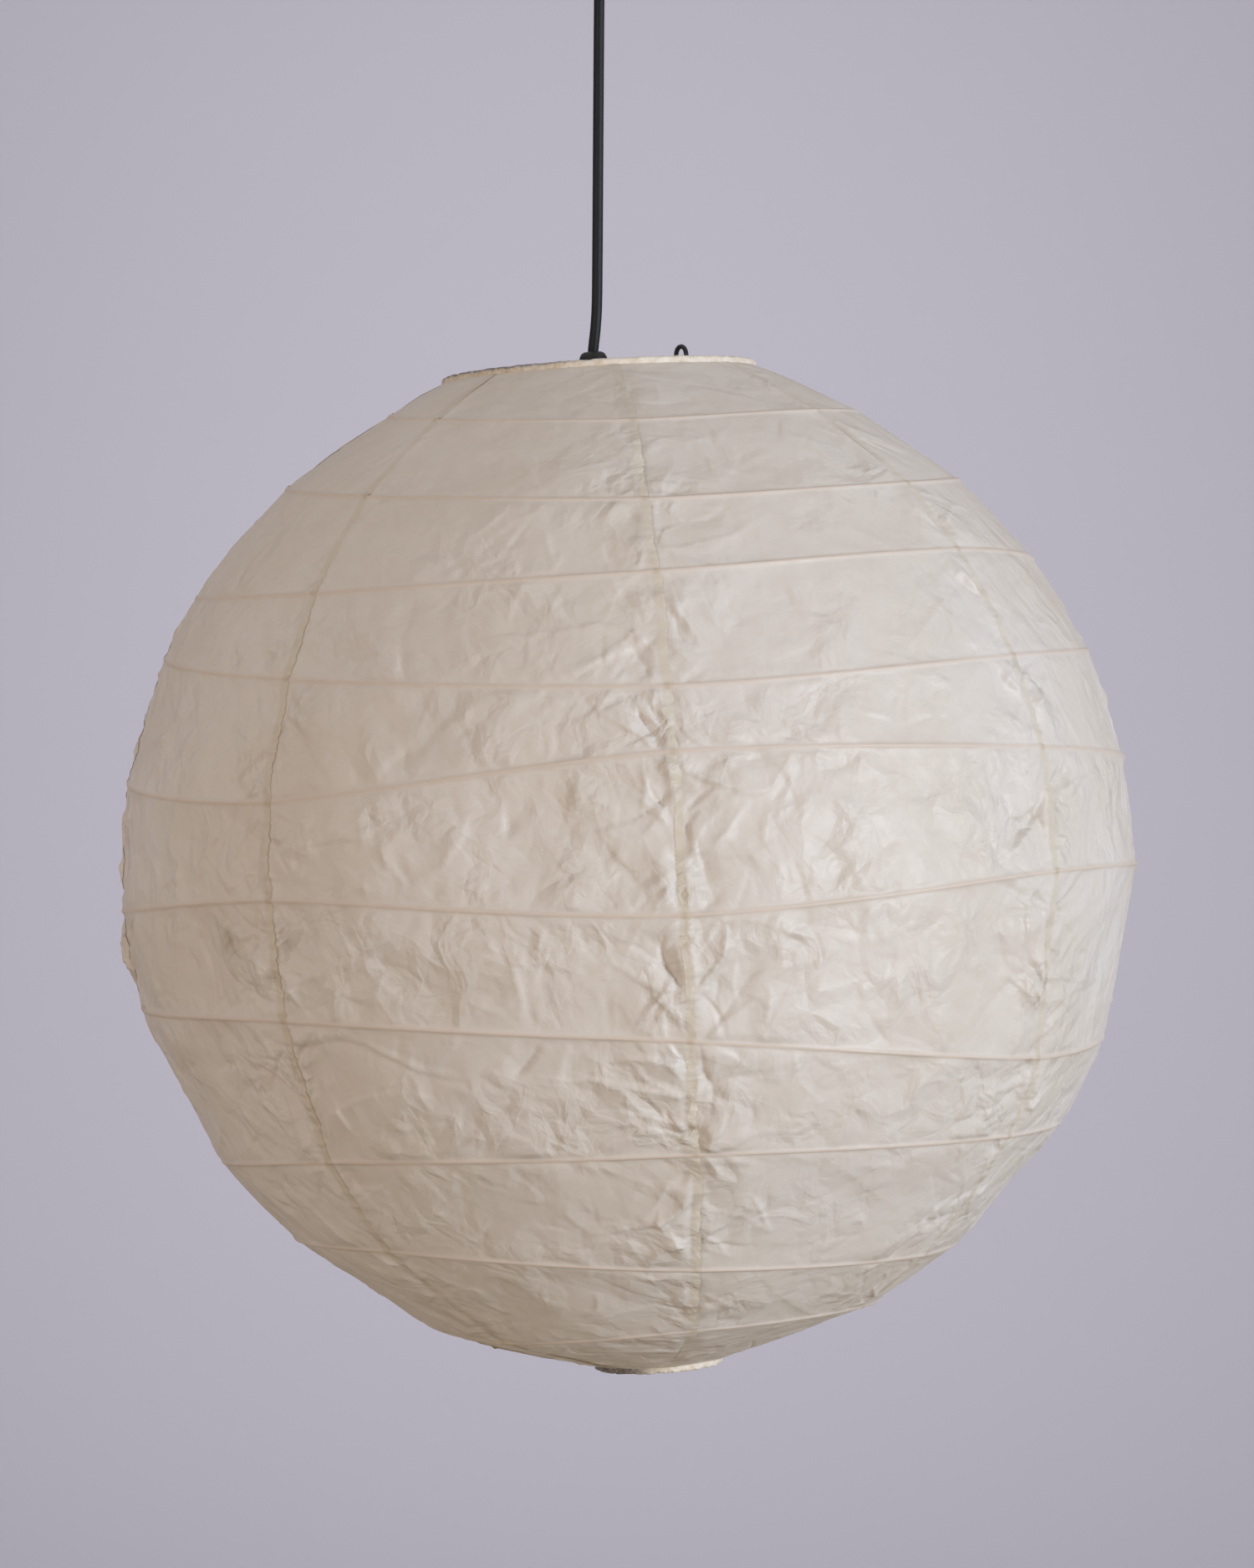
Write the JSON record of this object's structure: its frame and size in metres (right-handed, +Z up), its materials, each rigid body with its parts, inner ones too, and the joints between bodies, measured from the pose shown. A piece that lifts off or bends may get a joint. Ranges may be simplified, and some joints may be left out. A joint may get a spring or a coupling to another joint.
{
  "type": "paper lantern",
  "caption": "Round pendant lantern of crumpled paper on a bamboo spiral, held open by a wire stretcher and hung on a black cord from a ceiling cup.",
  "frame": {"origin": "centre of the ceiling plate's top face", "axes": "+Z up, +X to the right and -Y to the front of the lantern as it hangs"},
  "size_m": [0.5494, 0.548, 0.8129],
  "materials": {
    "washi_paper": "matt crumpled handmade paper, off-white",
    "rim_paper": "matt folded paper strip",
    "split_bamboo": "split bamboo, unvarnished",
    "black_wire": "black lacquered wire",
    "black_plastic": "satin black moulded plastic",
    "cord_black": "matt black flexible sheath",
    "white_insert": "white ceramic",
    "brass_contact": "plain brass",
    "bulb_cap_metal": "rolled thread, satin",
    "opal_glass": "opal, unlit",
    "zinc_steel": "zinc plated"
  },
  "bodies": {
    "ceiling": {"ceiling_plate": "zinc_steel", "plate_screw_1": "zinc_steel", "plate_screw_2": "zinc_steel", "ceiling_hook": "zinc_steel", "terminal_block": "black_plastic"},
    "canopy": {"canopy_cup": "black_plastic"},
    "hanger": {"cord_hanger": "black_plastic", "hanger_screw": "zinc_steel"},
    "cord": {"cord": "cord_black"},
    "holder": {"cord_grip": "black_plastic", "holder_cap": "black_plastic", "holder_skirt": "black_plastic", "socket_insert": "white_insert", "socket_contact": "brass_contact"},
    "shade_ring": {"shade_ring_nut": "black_plastic"},
    "bulb": {"bulb_globe": "opal_glass", "bulb_cap": "bulb_cap_metal", "bulb_contact": "brass_contact"},
    "shade": {"stretcher_eye": "black_wire", "stretcher_arm_near": "black_wire", "stretcher_arm_far": "black_wire", "stretcher_foot_bar": "black_wire", "bottom_ring": "black_wire", "bottom_binding": "rim_paper", "paper_gore_1": "washi_paper", "paper_gore_2": "washi_paper", "paper_gore_3": "washi_paper", "paper_gore_4": "washi_paper", "paper_gore_5": "washi_paper", "paper_gore_6": "washi_paper", "paper_gore_7": "washi_paper", "paper_gore_8": "washi_paper", "bamboo_turn_01": "split_bamboo", "bamboo_turn_02": "split_bamboo", "bamboo_turn_03": "split_bamboo", "bamboo_turn_04": "split_bamboo", "bamboo_turn_05": "split_bamboo", "bamboo_turn_06": "split_bamboo", "bamboo_turn_07": "split_bamboo", "bamboo_turn_08": "split_bamboo", "bamboo_turn_09": "split_bamboo", "bamboo_turn_10": "split_bamboo", "bamboo_turn_11": "split_bamboo"},
    "top_rim": {"top_ring": "black_wire", "top_binding": "rim_paper"}
  },
  "joints": [
    {"name": "canopy_slide", "type": "slide", "parent": "ceiling", "child": "canopy", "axis": [0, 0, -1], "range_m": [0, 0.06]},
    {"name": "hanger_rock", "type": "hinge", "parent": "ceiling", "child": "hanger", "pos_m": [0, 0, -0.018], "axis": [1, 0, 0], "range_deg": [-3, 3]},
    {"name": "cord_swing", "type": "hinge", "parent": "hanger", "child": "cord", "pos_m": [0, 0, -0.035], "axis": [0, 1, 0], "range_deg": [-3, 3]},
    {"name": "lantern_tilt", "type": "hinge", "parent": "cord", "child": "holder", "pos_m": [-0.00326, 0, -0.26578], "axis": [0, 1, 0], "range_deg": [-6, 10]},
    {"name": "shade_ring_unscrew", "type": "slide", "parent": "holder", "child": "shade_ring", "axis": [0.0607, 0.014, -0.9981], "range_m": [0, 0.018]},
    {"name": "bulb_unscrew", "type": "slide", "parent": "holder", "child": "bulb", "axis": [0.0607, 0.014, -0.9981], "range_m": [0, 0.03]},
    {"name": "shade_turn", "type": "hinge", "parent": "holder", "child": "shade", "pos_m": [0, 0.00072, -0.31938], "axis": [-0.0607, -0.014, 0.9981], "continuous": true},
    {"name": "shade_collapse", "type": "slide", "parent": "shade", "child": "top_rim", "axis": [0.0607, 0.014, -0.9981], "range_m": [0, 0.5], "deforming": ["paper_gore_1", "paper_gore_2", "paper_gore_3", "paper_gore_4", "paper_gore_5", "paper_gore_6", "paper_gore_7", "paper_gore_8", "bamboo_turn_01", "bamboo_turn_02", "bamboo_turn_03", "bamboo_turn_04", "bamboo_turn_05", "bamboo_turn_06", "bamboo_turn_07", "bamboo_turn_08", "bamboo_turn_09", "bamboo_turn_10", "bamboo_turn_11"]}
  ]
}
